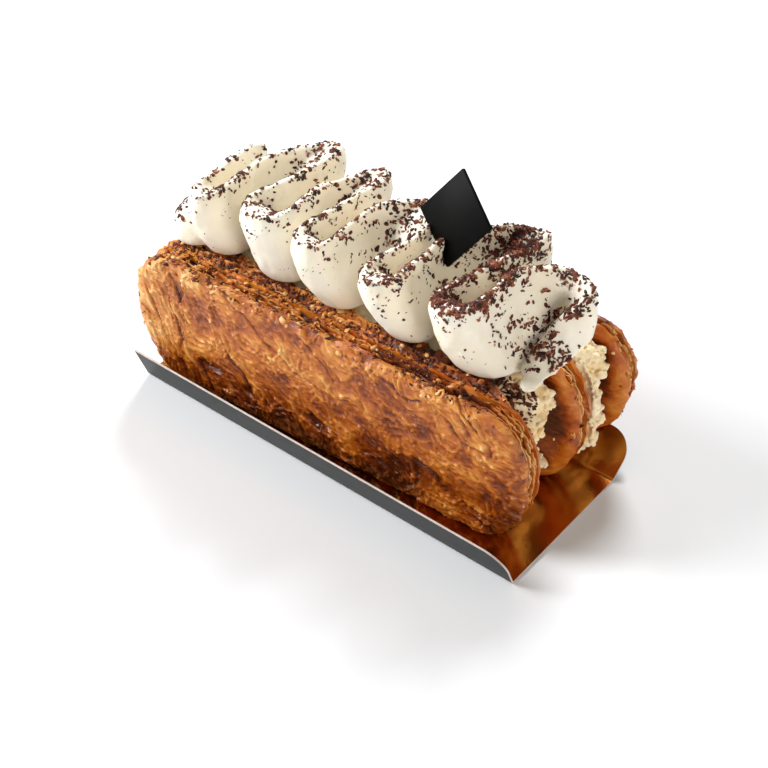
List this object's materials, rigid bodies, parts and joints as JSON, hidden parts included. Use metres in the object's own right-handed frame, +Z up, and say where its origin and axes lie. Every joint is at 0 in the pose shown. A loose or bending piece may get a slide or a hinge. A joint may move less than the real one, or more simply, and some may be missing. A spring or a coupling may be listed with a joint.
{
  "type": "vanilla mille-feuille",
  "caption": "Caramelised puff pastry stood on edge with vanilla filling, under a folded ribbon of cream with chocolate shavings and a small plaque, on a folded gold card",
  "frame": {"origin": "middle of the card's underside, between its two folds", "axes": "+X along the pastry to its open cut end, +Y across it to the back, +Z up"},
  "size_m": [0.1461, 0.071, 0.0937],
  "materials": {
    "card_tray": "gloss",
    "pastry_front": "satin",
    "pastry_middle": "satin",
    "pastry_back": "satin",
    "filling_front": "matte",
    "filling_back": "matte",
    "cream_ribbon": "satin",
    "plaque": "satin"
  },
  "bodies": {
    "root": {"card_tray": "card_tray", "pastry_front": "pastry_front", "pastry_middle": "pastry_middle", "pastry_back": "pastry_back", "filling_front": "filling_front", "filling_back": "filling_back", "cream_ribbon": "cream_ribbon", "plaque": "plaque"}
  },
  "joints": []
}
